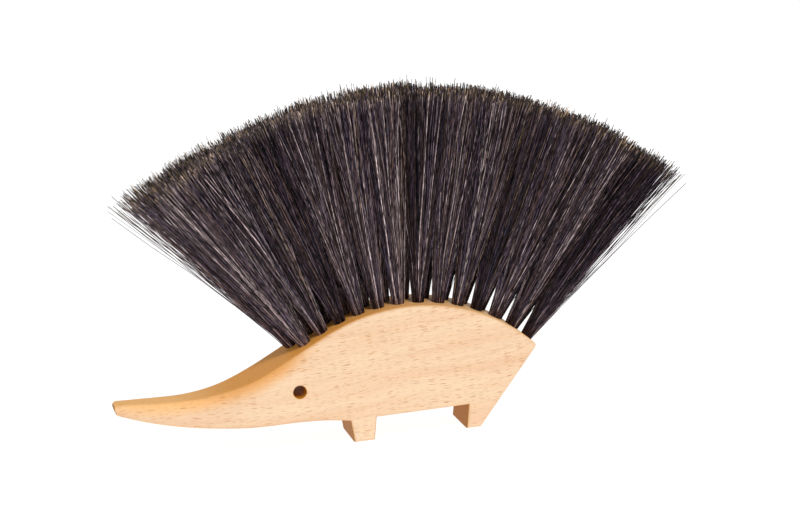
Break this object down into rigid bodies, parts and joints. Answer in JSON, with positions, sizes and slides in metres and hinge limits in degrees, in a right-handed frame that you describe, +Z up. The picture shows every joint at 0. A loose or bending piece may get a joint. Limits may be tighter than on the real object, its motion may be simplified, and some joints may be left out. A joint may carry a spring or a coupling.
{
  "type": "clothes brush",
  "caption": "Hedgehog-shaped clothes brush: a flat beech block on two short legs, with fanned horsehair tufts along its round back.",
  "frame": {"origin": "on the surface the two feet stand on, at the middle of the brush's overall length and thickness", "axes": "+X from the snout to the rump, +Y across the board, +Z up from the feet to the hair tips"},
  "size_m": [0.2202, 0.0284, 0.1321],
  "materials": {
    "beech_wood": "oiled satin",
    "horsehair": "dark glossy hair",
    "staple_wire": "drawn wire"
  },
  "bodies": {
    "root": {"wooden_body": "beech_wood", "tuft_left_01": "horsehair", "tuft_left_02": "horsehair", "tuft_left_03": "horsehair", "tuft_left_04": "horsehair", "tuft_left_05": "horsehair", "tuft_left_06": "horsehair", "tuft_left_07": "horsehair", "tuft_left_08": "horsehair", "tuft_left_09": "horsehair", "tuft_left_10": "horsehair", "tuft_left_11": "horsehair", "tuft_left_12": "horsehair", "tuft_left_13": "horsehair", "tuft_right_01": "horsehair", "tuft_right_02": "horsehair", "tuft_right_03": "horsehair", "tuft_right_04": "horsehair", "tuft_right_05": "horsehair", "tuft_right_06": "horsehair", "tuft_right_07": "horsehair", "tuft_right_08": "horsehair", "tuft_right_09": "horsehair", "tuft_right_10": "horsehair", "tuft_right_11": "horsehair", "tuft_right_12": "horsehair", "tuft_right_13": "horsehair", "staple_left_01": "staple_wire", "staple_left_02": "staple_wire", "staple_left_03": "staple_wire", "staple_left_04": "staple_wire", "staple_left_05": "staple_wire", "staple_left_06": "staple_wire", "staple_left_07": "staple_wire", "staple_left_08": "staple_wire", "staple_left_09": "staple_wire", "staple_left_10": "staple_wire", "staple_left_11": "staple_wire", "staple_left_12": "staple_wire", "staple_left_13": "staple_wire", "staple_right_01": "staple_wire", "staple_right_02": "staple_wire", "staple_right_03": "staple_wire", "staple_right_04": "staple_wire", "staple_right_05": "staple_wire", "staple_right_06": "staple_wire", "staple_right_07": "staple_wire", "staple_right_08": "staple_wire", "staple_right_09": "staple_wire", "staple_right_10": "staple_wire", "staple_right_11": "staple_wire", "staple_right_12": "staple_wire", "staple_right_13": "staple_wire"}
  },
  "joints": []
}
